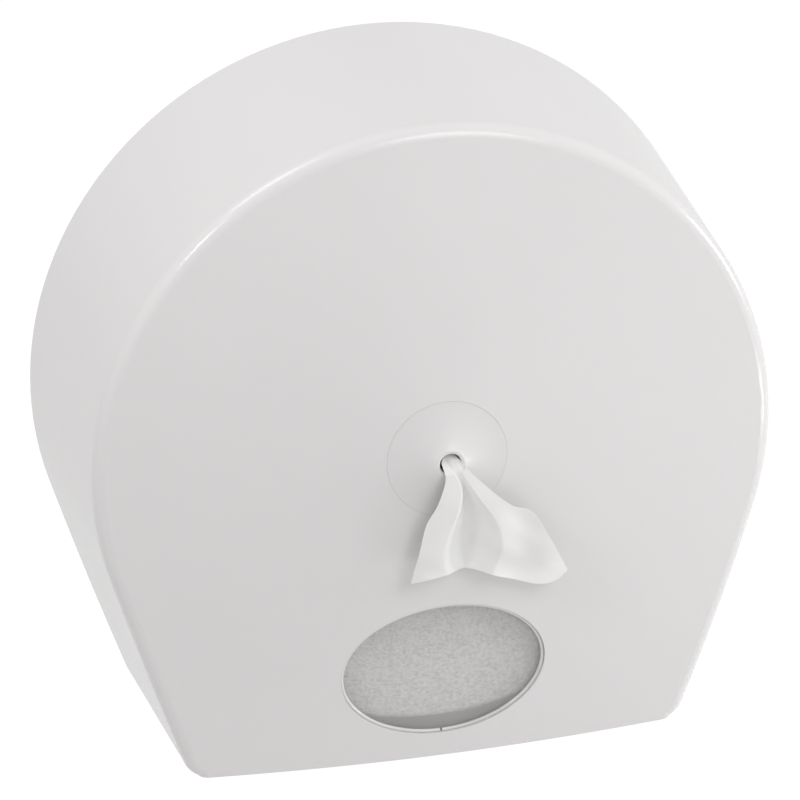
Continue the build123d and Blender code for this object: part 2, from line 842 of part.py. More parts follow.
with BuildPart() as left_clip:
    add(right_clip.part)
    mirror(about=Plane.YZ, mode=Mode.REPLACE)
left_clip.part.label = "left_clip"
export_step(left_clip.part, "parts/left_clip.step")

with BuildPart() as clip_screws:
    for x, z in clip_points:
        add(screw_into_plate(x, z, foot_seat))
clip_screws.part.label = "clip_screws"
export_step(clip_screws.part, "parts/clip_screws.step")

# Catch beside the cam
with BuildPart() as catch_plate:
    with BuildSketch(Plane.XZ.offset(shelf_back)):
        with Locations((catch_x + catch_thickness, catch_low)):
            Rectangle(
                catch_foot_length,
                catch_height,
                align=(Align.MAX, Align.MIN),
            )
        with Locations(*catch_points):
            Circle(screw_hole_radius, mode=Mode.SUBTRACT)
    extrude(amount=catch_thickness)
    arm_reach = lock_depth + cam_width / 2 + catch_clearance + catch_hook_depth
    with BuildSketch(Plane.YZ.offset(catch_x)):
        with Locations((-shelf_back, catch_low + catch_hook)):
            Rectangle(
                arm_reach - shelf_back,
                catch_height - catch_hook,
                align=(Align.MAX, Align.MIN),
            )
        with Locations((-arm_reach, catch_low)):
            Rectangle(catch_hook_depth, catch_height, align=(Align.MIN, Align.MIN))
    extrude(amount=catch_thickness)
catch_plate.part.label = "catch_plate"
export_step(catch_plate.part, "parts/catch_plate.step")

with BuildPart() as catch_screws:
    for x, z in catch_points:
        add(screw_into_plate(x, z, shelf_back + catch_thickness + running_gap))
catch_screws.part.label = "catch_screws"
export_step(catch_screws.part, "parts/catch_screws.step")

# Hinge pins and the rings on their ends
pin_start = tray_knuckle_start - running_gap
pin_end = cover_knuckle_start + knuckle_length + pin_overhang
with BuildPart() as hinge_pins:
    with BuildSketch(Plane.YZ.offset(pin_start)):
        with Locations((-hinge_depth, hinge_z)):
            Circle(pin_radius)
    extrude(amount=pin_end - pin_start)
    with BuildSketch(Plane.YZ.offset(pin_start)):
        with Locations((-hinge_depth, hinge_z)):
            Circle(pin_head_radius)
    extrude(amount=-pin_head_thickness)
    mirror(about=Plane.YZ)
hinge_pins.part.label = "hinge_pins"
export_step(hinge_pins.part, "parts/hinge_pins.step")

with BuildPart() as hinge_rings:
    ring_start = cover_knuckle_start + knuckle_length + seat_gap
    with BuildSketch(Plane.YZ.offset(ring_start)):
        with Locations((-hinge_depth, hinge_z)):
            Circle(hinge_ring_radius)
            Circle(pin_radius + running_gap, mode=Mode.SUBTRACT)
    extrude(amount=hinge_ring_thickness)
    mirror(about=Plane.YZ)
hinge_rings.part.label = "hinge_rings"
export_step(hinge_rings.part, "parts/hinge_rings.step")

# Paper roll and the strand that is drawn from its middle
with BuildPart() as paper_roll:
    with BuildSketch(Plane.XZ.offset(roll_back)):
        with Locations((0, roll_centre_z)):
            Circle(roll_radius)
            Circle(roll_bore_radius, mode=Mode.SUBTRACT)
    extrude(amount=roll_front - roll_back)
    fillet(paper_roll.edges().filter_by(GeomType.CIRCLE).group_by(SortBy.RADIUS)[-1], roll_edge_radius)
paper_roll.part.label = "paper_roll"
export_step(paper_roll.part, "parts/paper_roll.step")

with BuildPart() as feed_strand:
    with BuildSketch(Plane.XZ.offset(strand_root_depth)):
        with Locations((0, roll_centre_z)):
            Circle(roll_bore_radius - seat_gap)
    extrude(amount=strand_shoulder_depth - strand_root_depth)
    with BuildSketch(Plane.XZ.offset(strand_shoulder_depth)):
        with Locations((0, roll_centre_z)):
            Circle(roll_bore_radius - seat_gap)
    with BuildSketch(Plane.XZ.offset(strand_tip_depth)):
        with Locations((0, roll_centre_z)):
            Circle(strand_tip_radius)
    loft()
feed_strand.part.label = "feed_strand"
export_step(feed_strand.part, "parts/feed_strand.step")
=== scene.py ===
from math import cos, pi, radians, sin

import bpy
import numpy as np
from mathutils import Matrix, Vector


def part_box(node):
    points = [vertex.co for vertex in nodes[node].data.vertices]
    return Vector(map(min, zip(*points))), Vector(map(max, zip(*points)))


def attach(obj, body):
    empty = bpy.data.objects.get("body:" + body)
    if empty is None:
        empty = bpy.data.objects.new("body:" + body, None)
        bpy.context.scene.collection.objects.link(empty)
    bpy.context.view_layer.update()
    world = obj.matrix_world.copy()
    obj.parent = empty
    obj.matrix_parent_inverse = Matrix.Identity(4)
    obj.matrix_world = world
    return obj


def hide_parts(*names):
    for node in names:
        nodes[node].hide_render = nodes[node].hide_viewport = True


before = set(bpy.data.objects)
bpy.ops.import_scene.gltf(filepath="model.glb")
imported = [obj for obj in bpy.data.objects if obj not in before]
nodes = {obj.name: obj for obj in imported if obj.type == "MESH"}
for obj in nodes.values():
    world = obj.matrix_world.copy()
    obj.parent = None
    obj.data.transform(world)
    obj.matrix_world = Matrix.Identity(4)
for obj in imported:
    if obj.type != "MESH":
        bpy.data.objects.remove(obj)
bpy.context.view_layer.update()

# Camera. It stands five metres off, a little to the left and well above, so the view is nearly
# parallel, as a product picture's is. The slight roll is the photograph's own.
view_distance = 5.0
view_heading = -13.8177
view_height = 24.0933
view_roll = radians(-1.2164)
view_point = Vector((-0.0002, -0.06, -0.00786))
pixels_per_millimetre = 2.19065
picture_width = 800
millimetres_per_metre = 1000


def towards(heading, height):
    """One metre from the dispenser, by degrees to the right of straight ahead and degrees up."""
    level = cos(radians(height))
    return Vector((sin(radians(heading)) * level, -cos(radians(heading)) * level, sin(radians(height))))


def put(name, data):
    """A new object in the scene."""
    thing = bpy.data.objects.new(name, data)
    bpy.context.scene.collection.objects.link(thing)
    return thing


view_back = towards(view_heading, view_height)
view_right = (-view_back).cross(Vector((0, 0, 1))).normalized()
view_up = view_right.cross(-view_back)
rolled_right = view_right * cos(view_roll) + view_up * sin(view_roll)
rolled_up = view_up * cos(view_roll) - view_right * sin(view_roll)
lens = bpy.data.cameras.new("product view")
lens.sensor_fit = "HORIZONTAL"
lens.sensor_width = 36
focal_pixels = pixels_per_millimetre * view_distance * millimetres_per_metre
lens.lens = focal_pixels * lens.sensor_width / picture_width
camera = put("product view", lens)
view_turn = Matrix((rolled_right, rolled_up, view_back)).transposed().to_4x4()
camera.matrix_world = Matrix.Translation(view_point + view_back * view_distance) @ view_turn
bpy.context.scene.camera = camera
bpy.context.scene.view_settings.view_transform = "Standard"

# Studio. The dispenser hangs high over a pale floor, against white. Three soft lamps light it from the
# front and the right, and two more fill in the left wall and the top.
world = bpy.data.worlds.new("white studio")
bpy.context.scene.world = world
world.use_nodes = True


class Value:
    """What a node gives. Python's operators add Math nodes to its bench."""

    def __init__(self, bench, socket):
        self.bench = bench
        self.socket = socket

    def __add__(self, other):
        return self.bench.math("ADD", self, other)

    def __sub__(self, other):
        return self.bench.math("SUBTRACT", self, other)

    def __rsub__(self, other):
        return self.bench.math("SUBTRACT", other, self)

    def __mul__(self, other):
        return self.bench.math("MULTIPLY", self, other)

    def __truediv__(self, other):
        return self.bench.math("DIVIDE", self, other)

    def __rtruediv__(self, other):
        return self.bench.math("DIVIDE", other, self)

    def __pow__(self, other):
        return self.bench.math("POWER", self, other)

    def __rpow__(self, other):
        return self.bench.math("POWER", other, self)

    __radd__ = __add__
    __rmul__ = __mul__


class Bench:
    """A node tree, to which one call adds any node."""

    def __init__(self, tree):
        self.tree = tree

    def feed(self, entry, term):
        if isinstance(term, Value):
            self.tree.links.new(term.socket, entry)
        else:
            entry.default_value = term

    def add(self, kind, settings=None, sockets=None, result=0):
        node = self.tree.nodes.new(kind)
        for name, value in (settings or {}).items():
            setattr(node, name, value)
        for name, term in (sockets or {}).items():
            self.feed(node.inputs[name], term)
        return None if result is None else Value(self, node.outputs[result])

    def math(self, operation, *terms):
        return self.add("ShaderNodeMath", {"operation": operation}, dict(enumerate(terms)))

    def part(self, vector, axis):
        return self.add("ShaderNodeSeparateXYZ", {}, {"Vector": vector}, axis)

    def point(self, x, y, z):
        return self.add("ShaderNodeCombineXYZ", {}, {"X": x, "Y": y, "Z": z})


def seen_directly(bench):
    """1 for the rays that see a surface straight or through glass, and most of it for gloss."""
    gloss_share = 0.65
    straight = bench.add("ShaderNodeLightPath", result="Is Camera Ray")
    gloss = bench.add("ShaderNodeLightPath", result="Is Glossy Ray")
    through = bench.add("ShaderNodeLightPath", result="Is Transmission Ray")
    return bench.math("MAXIMUM", bench.math("MAXIMUM", straight, gloss * gloss_share), through)


sky = Bench(world.node_tree)
world.node_tree.nodes.clear()
glow = sky.add("ShaderNodeBackground", {}, {"Color": (1, 0.985, 0.99, 1), "Strength": 0.53})
white = sky.add("ShaderNodeBackground", {}, {"Color": (1, 1, 1, 1), "Strength": 1.0})
sky_shown = sky.add("ShaderNodeMixShader", {}, {0: seen_directly(sky), 1: glow, 2: white})
sky.add("ShaderNodeOutputWorld", {}, {"Surface": sky_shown}, None)

floor_level = -0.75
floor_reach = 7.0
floor_corners = 64
floor_brightness = 1.12
floor_edge = []
for corner in range(floor_corners):
    bearing = 2 * pi * corner / floor_corners
    floor_edge.append((floor_reach * cos(bearing), floor_reach * sin(bearing), floor_level))
floor_mesh = bpy.data.meshes.new("floor")
floor_mesh.from_pydata(floor_edge, [], [list(range(floor_corners))])
floor = put("floor", floor_mesh)

# Seen from above, the floor is white but keeps a trace of the shadows. From below, it is seen through.
floor_paint = bpy.data.materials.new("floor paint")
floor_paint.use_nodes = True
paint = Bench(floor_paint.node_tree)
matt = paint.add("ShaderNodeBsdfDiffuse", {}, {"Color": (0.80, 0.80, 0.795, 1)})
bright = paint.add("ShaderNodeEmission", {}, {"Color": (1, 1, 1, 1), "Strength": floor_brightness})
topside = paint.add("ShaderNodeMixShader", {}, {0: seen_directly(paint) * 0.85, 1: matt, 2: bright})
from_below = paint.add("ShaderNodeNewGeometry", result="Backfacing")
clear = paint.add("ShaderNodeBsdfTransparent")
one_way = paint.add("ShaderNodeMixShader", {}, {0: from_below, 1: topside, 2: clear})
paint.feed(paint.tree.nodes["Material Output"].inputs["Surface"], one_way)
floor_mesh.materials.append(floor_paint)

# Each lamp has a name, a heading and a height in degrees, a power in watts and a width in metres.
lamp_distance = 2.0
for name, heading, height, power, width in (
    ("front right", 20, 35, 7.5, 0.9),
    ("right", 80, 5, 12.3, 0.5),
    ("low right", 60, -25, 11.8, 0.45),
    ("front left", -58, 35, 4.8, 0.36),
    ("top left", -90, 62, 8.2, 0.9),
):
    light = bpy.data.lights.new(name, "AREA")
    light.shape = "DISK"
    light.size = width
    light.energy = power
    away = towards(heading, height)
    lamp_turn = away.to_track_quat("Z", "Y").to_matrix().to_4x4()
    put(name, light).matrix_world = Matrix.Translation(away * lamp_distance) @ lamp_turn


# Front cover. One injection-moulded shell of satin white plastic, with drafted side walls and a rounded
# rim. The moulding leaves a fine grain and a faint flow of tone, and washing leaves hair-thin scuffs.
class Finish(Bench):
    """A material for one of the dispenser's surfaces. Its patterns lie in the piece's own space."""

    def __init__(self, name, fixed=None):
        self.material = bpy.data.materials.new(name)
        self.material.use_nodes = True
        super().__init__(self.material.node_tree)
        self.shader = self.tree.nodes["Principled BSDF"]
        for socket, value in (fixed or {}).items():
            self.shader.inputs[socket].default_value = value
        self.place = self.add("ShaderNodeTexCoord", result="Object")

    def axis(self, name):
        return self.part(self.place, name)

    def facing(self, name):
        return self.part(self.add("ShaderNodeNewGeometry", result="Normal"), name)

    def stretched(self, scale):
        return self.add("ShaderNodeMapping", {}, {"Vector": self.place, "Scale": scale})

    def noise(self, scale, detail=3.0, where=None, rough=0.5):
        """Soft clouds, so many to the metre."""
        sockets = {"Vector": where or self.place, "Scale": scale, "Detail": detail, "Roughness": rough}
        return self.add("ShaderNodeTexNoise", {}, sockets)

    def cells(self, scale, where=None, spread=1.0):
        """Round dots, so many to the metre, in rows where the spread is small."""
        sockets = {"Vector": where or self.place, "Scale": scale, "Randomness": spread}
        return self.add("ShaderNodeTexVoronoi", {}, sockets)

    def span(self, value, low, high):
        """0 at the low value and 1 at the high one."""
        return self.add("ShaderNodeMapRange", {}, {"Value": value, "From Min": low, "From Max": high})

    def tint(self, share, first, second):
        """From the first colour to the second. A colour is three numbers or what a node gives."""
        ends = [colour if isinstance(colour, Value) else (*colour, 1) for colour in (first, second)]
        return self.add("ShaderNodeMix", {"data_type": "RGBA"}, {0: share, 6: ends[0], 7: ends[1]}, 2)

    def relief(self, height, depth, strength=1.0):
        return self.add("ShaderNodeBump", {}, {"Height": height, "Distance": depth, "Strength": strength})

    def wear(self, colour, roughness=None, normal=None, alpha=None):
        terms = {"Base Color": colour, "Roughness": roughness, "Normal": normal, "Alpha": alpha}
        for socket, term in terms.items():
            if term is not None:
                self.feed(self.shader.inputs[socket], term)
        return self.material


def dress(material, *names):
    for name in names:
        mesh = nodes[name].data
        mesh.materials.clear()
        mesh.materials.append(material)


moulding_grain = 1500
shell = Finish("satin white shell", {"Specular IOR Level": 0.5})
flow = shell.noise(14, 2.0)
grain = shell.noise(moulding_grain, 2.0)
scuffs = shell.span(shell.noise(60, 5.0, shell.stretched((1, 1, 9))), 0.62, 0.72)
dress(
    shell.wear(
        colour=shell.tint(flow, (0.800, 0.790, 0.786), (0.822, 0.814, 0.810)),
        roughness=0.17 + flow * 0.04 + scuffs * 0.02 + grain * 0.03,
        normal=shell.relief(grain, 0.000008, 0.5),
    ),
    "front_cover",
)

# Nozzle. A separate flared insert of the same plastic, screwed in from behind. The paper polishes the
# lip of its bore, so it is smoother and a little brighter there.
bore_lip = 0.005
rubbed_reach = 0.012
flare = Finish("flared nozzle plastic", {"Specular IOR Level": 0.5})
off_axis = (flare.axis("X") ** 2.0 + flare.axis("Z") ** 2.0) ** 0.5
rubbed = flare.span(off_axis, rubbed_reach, bore_lip)
flare_grain = flare.noise(moulding_grain, 2.0)
dress(
    flare.wear(
        colour=flare.tint(rubbed, (0.795, 0.785, 0.781), (0.83, 0.825, 0.82)),
        roughness=0.36 + flare_grain * 0.06 - rubbed * 0.14,
        normal=flare.relief(flare_grain, 0.00002, 0.5),
    ),
    "nozzle",
)


# Nozzle seat. A thin bead of white sealant fills the joint round the nozzle, so that it shows only as a
# faint line. It is laid as a ring, where the dome meets the nozzle's edge.
class Form(Bench):
    """A Geometry Nodes tree with named sizes, which is made a plain mesh."""

    def __init__(self, name, **sizes):
        super().__init__(bpy.data.node_groups.new(name, "GeometryNodeTree"))
        self.name = name
        self.tree.interface.new_socket("Geometry", in_out="OUTPUT", socket_type="NodeSocketGeometry")
        source = self.tree.nodes.new("NodeGroupInput")
        self.sizes = {}
        for size, value in sizes.items():
            kind = "NodeSocketInt" if isinstance(value, int) else "NodeSocketFloat"
            socket = self.tree.interface.new_socket(size, in_out="INPUT", socket_type=kind)
            self.sizes[socket.identifier] = value
            setattr(self, size, Value(self, source.outputs[size]))

    def place(self):
        """The x, y and z of the points that a node moves."""
        position = self.add("GeometryNodeInputPosition")
        return [self.part(position, axis) for axis in "XYZ"]

    def swept(self, path, section, capped=False):
        sockets = {"Curve": path, "Profile Curve": section, "Fill Caps": capped}
        return self.add("GeometryNodeCurveToMesh", {}, sockets)

    def ring(self, radius, steps):
        return self.add("GeometryNodeCurvePrimitiveCircle", {}, {"Radius": radius, "Resolution": steps})

    def moved(self, shape, x, y, z):
        sockets = {"Geometry": shape, "Position": self.point(x, y, z)}
        return self.add("GeometryNodeSetPosition", {}, sockets)

    def made(self, shape, material, body, slot):
        real = self.add("GeometryNodeRealizeInstances", {}, {"Geometry": shape})
        smooth = self.add("GeometryNodeSetShadeSmooth", {}, {"Geometry": real, "Shade Smooth": True})
        dressed = self.add("GeometryNodeSetMaterial", {}, {"Geometry": smooth, "Material": material})
        end = self.tree.nodes.new("NodeGroupOutput")
        self.feed(end.inputs["Geometry"], dressed)
        holder = put(self.name, bpy.data.meshes.new(self.name))
        modifier = holder.modifiers.new(self.name, "NODES")
        modifier.node_group = self.tree
        for identifier, value in self.sizes.items():
            modifier[identifier] = value
        evaluated = holder.evaluated_get(bpy.context.evaluated_depsgraph_get())
        mesh = bpy.data.meshes.new_from_object(evaluated)
        bpy.data.objects.remove(holder)
        piece = put(self.name, mesh)
        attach(piece, body)
        return piece


upright = (pi / 2, 0, 0)
bead = Form(
    "nozzle_seat_bead", radius=0.02807, depth=0.14538, half_thickness=0.00023, steps=200, sides=10,
)
bead_path = bead.ring(bead.radius, bead.steps)
bead_laid = bead.swept(bead_path, bead.ring(bead.half_thickness, bead.sides))
bead_stood = bead.add("GeometryNodeTransform", {}, {
    "Geometry": bead_laid, "Rotation": upright, "Translation": bead.point(0.0, -1 * bead.depth, 0.0),
})
sealant = Finish("white sealant", {"Roughness": 0.4})
sealant_grain = sealant.noise(1800)
white_bead = sealant.wear(
    colour=sealant.tint(sealant_grain, (0.76, 0.755, 0.75), (0.80, 0.795, 0.79)),
    normal=sealant.relief(sealant_grain, 0.00002, 0.4),
)
bead.made(bead_stood, white_bead, "cover", "nozzle_plastic")

# Window lip. A rounded rim moulded on the pane's edge, seen inside the opening as a light line. It
# follows the dome, as the pane does, and is split by a hair at its lowest point.
lip = Form(
    "window_lip", half_width=0.0471, half_height=0.0340, middle=-0.1112, apex=0.14938, slope=0.128,
    bend=2.083, sunk=0.0019, half_thickness=0.0008, split=0.02, steps=220, sides=12,
)
lip_oval = lip.add("GeometryNodeCurveArc", {}, {
    "Radius": 1.0, "Resolution": lip.steps,
    "Start Angle": lip.split / 2 - pi / 2, "Sweep Angle": 2 * pi - lip.split,
})
oval_x, oval_y, _ = lip.place()
edge_x = oval_x * lip.half_width
edge_z = oval_y * lip.half_height + lip.middle
off_centre = (edge_x * edge_x + edge_z * edge_z) ** 0.5
dome_depth = lip.apex - lip.slope * off_centre - off_centre * off_centre / (2 * lip.bend)
lip_path = lip.moved(lip_oval, edge_x, lip.sunk - dome_depth, edge_z)
lip_tube = lip.swept(lip_path, lip.ring(lip.half_thickness, lip.sides), capped=True)
clear_rim = Finish("clear moulded rim", {"Specular IOR Level": 0.7})
rim_haze = clear_rim.noise(300)
rim_plastic = clear_rim.wear(
    colour=clear_rim.tint(rim_haze, (0.74, 0.735, 0.725), (0.82, 0.815, 0.81)),
    roughness=0.12 + rim_haze * 0.1,
)
lip.made(lip_tube, rim_plastic, "cover", "window_clear")

# Window pane. Clear styrene, lightly smoked, clamped behind the opening. It carries faint rubbed haze
# and a little paper dust.
pane = Finish("smoked clear pane", {"Specular IOR Level": 0.6})
dust = pane.span(pane.cells(900), 0.10, 0.02)
haze = pane.noise(45, 4.0)
dress(
    pane.wear(
        colour=pane.tint(dust, (0.92, 0.912, 0.90), (0.97, 0.965, 0.955)),
        roughness=0.05 + haze * 0.06 + dust * 0.2,
        alpha=0.22 + haze * 0.06 + dust * 0.05,
    ),
    "window_pane",
)

# Window ring and nozzle ring. Grey moulded clamps, screwed to the cover from inside, which hold the
# pane and the flared nozzle in their openings. Their faces are spark-eroded, so they are matte.
clamp = Finish("grey clamp plastic")
pits = clamp.noise(2200)
dress(
    clamp.wear(
        colour=clamp.tint(clamp.noise(60), (0.27, 0.275, 0.28), (0.32, 0.325, 0.33)),
        roughness=0.52 + pits * 0.14,
        normal=clamp.relief(pits, 0.00004, 0.6),
    ),
    "window_ring", "nozzle_ring",
)

# Back plate, cradle and clips. Moulded in matte, white-grey plastic. The plate is screwed to the wall,
# and carries the cradle and the clips that hold the roll. Paper dust dulls what faces up.
plate = Finish("matte plate plastic")
plate_grain = plate.noise(1700)
settled = plate.span(plate.facing("Z"), 0.5, 1.0) * plate.span(plate.noise(150, 5.0), 0.35, 0.75)
plate_tone = plate.tint(plate.noise(20, 2.0), (0.74, 0.74, 0.73), (0.79, 0.79, 0.78))
dress(
    plate.wear(
        colour=plate.tint(settled, plate_tone, (0.78, 0.78, 0.775)),
        roughness=0.50 + plate_grain * 0.12 + settled * 0.2,
        normal=plate.relief(plate_grain, 0.00004, 0.6),
    ),
    "back_plate", "roll_cradle", "right_clip", "left_clip",
)


# Steel small parts. Zinc-plated screws, pressed catch and cam, turned pins and rings: a bluish plating
# with faint yellow clouds and the marks of the tool that made each.
def zinc(name, grain_scale, blue, roughness):
    metal = Finish(name, {"Metallic": 1.0})
    clouds = metal.noise(180)
    marks = metal.noise(900, 4.0, metal.stretched(grain_scale))
    return metal.wear(
        colour=metal.tint(clouds, blue, (0.66, 0.645, 0.60)),
        roughness=roughness + marks * 0.2 + clouds * 0.05,
        normal=metal.relief(marks, 0.00001, 0.5),
    )


dress(
    zinc("zinc-plated screws", (1, 1, 1), (0.60, 0.61, 0.63), 0.26),
    "window_screws", "nozzle_screws", "cradle_screws", "clip_screws", "catch_screws", "cam_screw",
)
dress(
    zinc("pressed zinc sheet", (1, 1, 12), (0.62, 0.625, 0.64), 0.32),
    "catch_plate", "lock_cam",
)
dress(
    zinc("turned steel", (14, 1, 1), (0.56, 0.565, 0.575), 0.22),
    "hinge_pins", "hinge_rings", "lock_nut",
)

# Key lock. A nickel-plated die casting in the right wall, held by a nut, with a turning barrel. Keys
# have scratched the face round the slot.
lock_depth = 0.028
slot_reach = 0.002
scratched_reach = 0.006
nickel = Finish("nickel-plated lock", {"Metallic": 1.0})
swirl = nickel.noise(1400, 4.0, nickel.stretched((0.2, 1, 1)))
off_lock = ((nickel.axis("Y") + lock_depth) ** 2.0 + nickel.axis("Z") ** 2.0) ** 0.5
scratches = nickel.span(nickel.noise(700, 5.0), 0.4, 0.7)
keyed = nickel.span(off_lock, scratched_reach, slot_reach) * scratches
dress(
    nickel.wear(
        colour=nickel.tint(keyed, (0.70, 0.69, 0.67), (0.58, 0.565, 0.53)),
        roughness=0.14 + swirl * 0.12 + keyed * 0.25,
        normal=nickel.relief(swirl, 0.00001, 0.4),
    ),
    "lock_housing", "lock_barrel",
)

# Paper roll. Two-ply tissue wound on itself round an open bore, so each end shows the cut edges of some
# hundreds of crinkled layers. It is one sweep of a rounded section, then lifted layer by layer.
roll_low, roll_high = (Vector(corner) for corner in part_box("paper_roll"))
roll_middle = (roll_low + roll_high) / 2
wound = Form(
    "wound_roll", radius=(roll_high.x - roll_low.x) / 2, bore=0.022, width=roll_high.y - roll_low.y,
    edge=0.0025, crinkle=0.00035, layer_scale=320.0, round_scale=6.0, flat_share=0.49, seam=0.0006,
    turns=240, steps=320,
)
band = wound.add("GeometryNodeCurvePrimitiveQuadrilateral", {}, {
    "Width": wound.radius - wound.bore, "Height": wound.width,
})
rounded = wound.add("GeometryNodeFilletCurve", {"mode": "POLY"}, {
    "Curve": band, "Radius": wound.edge, "Count": 6,
})
section = wound.add("GeometryNodeResampleCurve", {}, {"Curve": rounded, "Count": wound.steps})
hoop = wound.ring((wound.radius + wound.bore) * 0.5, wound.turns)
hoop_x, hoop_y, hoop_z = wound.place()
hoop_angle = wound.math("ARCTAN2", hoop_y, hoop_x)
outwards = (hoop_x * hoop_x + hoop_y * hoop_y) ** 0.5

# The cut ends are pressed in by a crinkle that changes fast from layer to layer and slowly round them.
# The outer layer ends in a lap, so the roll is a little larger on one side of it.
layers = wound.add("ShaderNodeTexNoise", {"noise_dimensions": "2D"}, {
    "Vector": wound.point(outwards * wound.layer_scale, hoop_angle * wound.round_scale, 0.0),
    "Scale": 1.0, "Detail": 4.0,
})
beyond = wound.width * wound.flat_share
cut_face = wound.math("GREATER_THAN", wound.math("ABSOLUTE", hoop_z), beyond)
pressed = wound.crinkle * layers * cut_face
lap = (hoop_angle / (2 * pi) + 0.5) * wound.seam * (outwards / wound.radius)
shrink = 1 - lap / wound.radius
inward = hoop_z * (1 - pressed * 2 / wound.width)
wrapped = wound.moved(wound.swept(hoop, section), hoop_x * shrink, hoop_y * shrink, inward)
roll_stood = wound.add("GeometryNodeTransform", {}, {
    "Geometry": wrapped, "Translation": tuple(roll_middle), "Rotation": upright,
})

# On the cut ends the tone follows the layers outwards, as painted shade between them. The outside is
# plain, with embossed dimples.
wrap = Finish("wound tissue", {"Sheen Weight": 0.15})
wrap_x, wrap_y, wrap_z = (wrap.axis(name) for name in "XYZ")
wrap_z = wrap_z - roll_middle.z
from_middle = (wrap_x ** 2.0 + wrap_z ** 2.0) ** 0.5
round_angle = wrap.math("ARCTAN2", wrap_z, wrap_x)
fibres = wrap.noise(1.0, 5.0, wrap.point(from_middle * 1050, round_angle * 62, wrap_y * 300), 0.65)
puckers = wrap.noise(1.0, 3.0, wrap.point(from_middle * 420, round_angle * 30, wrap_y * 90))
dimples = wrap.cells(1.0, wrap.point(round_angle * 46, wrap_y * 330, from_middle * 40), 0.15)
crinkles_and_layer_shade = fibres * 0.8 + puckers * 0.2 + dimples * 0.1
cut_end = wrap.span(wrap.math("ABSOLUTE", wrap.facing("Y")), 0.4, 0.8)
# Painted shade: on the cut ends the colour darkens in rings between the layers, down to a grey.
tone_and_layer_shade = crinkles_and_layer_shade * cut_end + (0.56 + puckers * 0.04) * (1 - cut_end)
lift = crinkles_and_layer_shade * (0.25 + cut_end * 0.75) + dimples * (1 - cut_end) * 0.3
wound_paper = wrap.wear(
    colour=wrap.tint(wrap.span(tone_and_layer_shade, 0.42, 0.62), (0.62, 0.612, 0.595), (0.97, 0.968, 0.955)),
    roughness=0.9 + fibres * 0.08,
    normal=wrap.relief(lift, 0.0014),
)
roll = wound.made(roll_stood, wound_paper, "tray", "tissue")
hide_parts("paper_roll")

# Feed strand. The innermost layers, drawn out of the bore and gathered into a twisted neck behind the
# nozzle: one sheet, pleated all round.
strand_low, strand_high = (Vector(corner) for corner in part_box("feed_strand"))
strand_fullness = 0.97
gather = Form(
    "feed_strand_paper", root=(strand_high.x - strand_low.x) / 2 * strand_fullness, tip=0.0036,
    length=strand_high.y - strand_low.y, wide_part=0.08, pleats=11.0, twist=2.2, drift=5.0, middle=0.86,
    fold=0.04, fold_growth=0.1, unevenness=0.04, around=264, along=90,
)
cloth = gather.add("GeometryNodeMeshGrid", {}, {
    "Size X": 1.0, "Size Y": 1.0, "Vertices X": gather.around, "Vertices Y": gather.along,
})
grid_x, grid_y, _ = gather.place()
forth = grid_y + 0.5
spin = grid_x * (2 * pi)
drawn = gather.add("ShaderNodeMapRange", {"interpolation_type": "SMOOTHSTEP"}, {
    "Value": forth, "From Min": gather.wide_part, "From Max": 1.0,
})
neck_radius = gather.root + (gather.tip - gather.root) * drawn
around_twice = gather.point(gather.math("COSINE", spin) * 2, gather.math("SINE", spin) * 2, forth * 2)
wander = gather.add("ShaderNodeTexNoise", {}, {"Vector": around_twice, "Scale": 1.0})
pleat = gather.math("SINE", spin * gather.pleats + forth * gather.twist * 2 + wander * gather.drift)
fold = pleat * (gather.fold + drawn * gather.fold_growth)
swell = neck_radius * (gather.middle + fold + wander * gather.unevenness)
lean = spin + forth * gather.twist
strand_open = gather.moved(
    cloth,
    swell * gather.math("COSINE", lean),
    strand_high.y - forth * gather.length,
    swell * gather.math("SINE", lean) + roll_middle.z,
)
strand_closed = gather.add("GeometryNodeMergeByDistance", {}, {
    "Geometry": strand_open, "Distance": 0.00002,
})

ply = Finish("soft two-ply tissue", {"Sheen Weight": 0.2})
ply_fibre = ply.noise(2600, 4.0)
ply_crease = ply.noise(160, 5.0, rough=0.6)
ply_dots = ply.cells(520, spread=0.1)
soft_paper = ply.wear(
    colour=ply.tint(ply_crease, (0.895, 0.895, 0.882), (0.915, 0.915, 0.905)),
    roughness=0.92 + ply_fibre * 0.06,
    normal=ply.relief(ply_fibre * 0.3 + ply_crease * 0.25 + ply_dots * 0.05, 0.0002, 0.5),
)
strand = gather.made(strand_closed, soft_paper, "tray", "tissue")
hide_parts("feed_strand")

# Tissue tail. The end of the two-ply sheet, pulled through the bore and fanned out below it. A tight
# crease opens downwards into a hollow between two soft lobes, and the torn end curls forward a little.
# Its outline and folds were set from the photograph, in millimetres from the nozzle's axis.
millimetre = 0.001
rows = 150
columns = 190
left_edge = [(-4.1, 0.6), (-3.4, -7.0), (-7.6, -17.5), (-13.3, -26.5), (-16.9, -39.5), (-20.8, -54.8)]
right_edge = [(4.2, 1.4), (13.4, -9.2), (26.7, -21.8), (36.6, -26.9), (46.0, -43.6), (53.4, -59.2)]
torn_edge = [
    (-20.8, -54.8), (-8.0, -52.6), (8.5, -52.0), (24.0, -58.0), (38.0, -63.2), (47.0, -63.0),
    (53.4, -59.2),
]
neck_edge = [(-4.1, 0.6), (-2.6, 2.0), (1.4, 3.1), (4.2, 1.4)]
crease_places = [(-2.6, 0), (4.6, 0), (6.3, 0), (5.6, 0), (5.2, 0), (5.6, 0)]


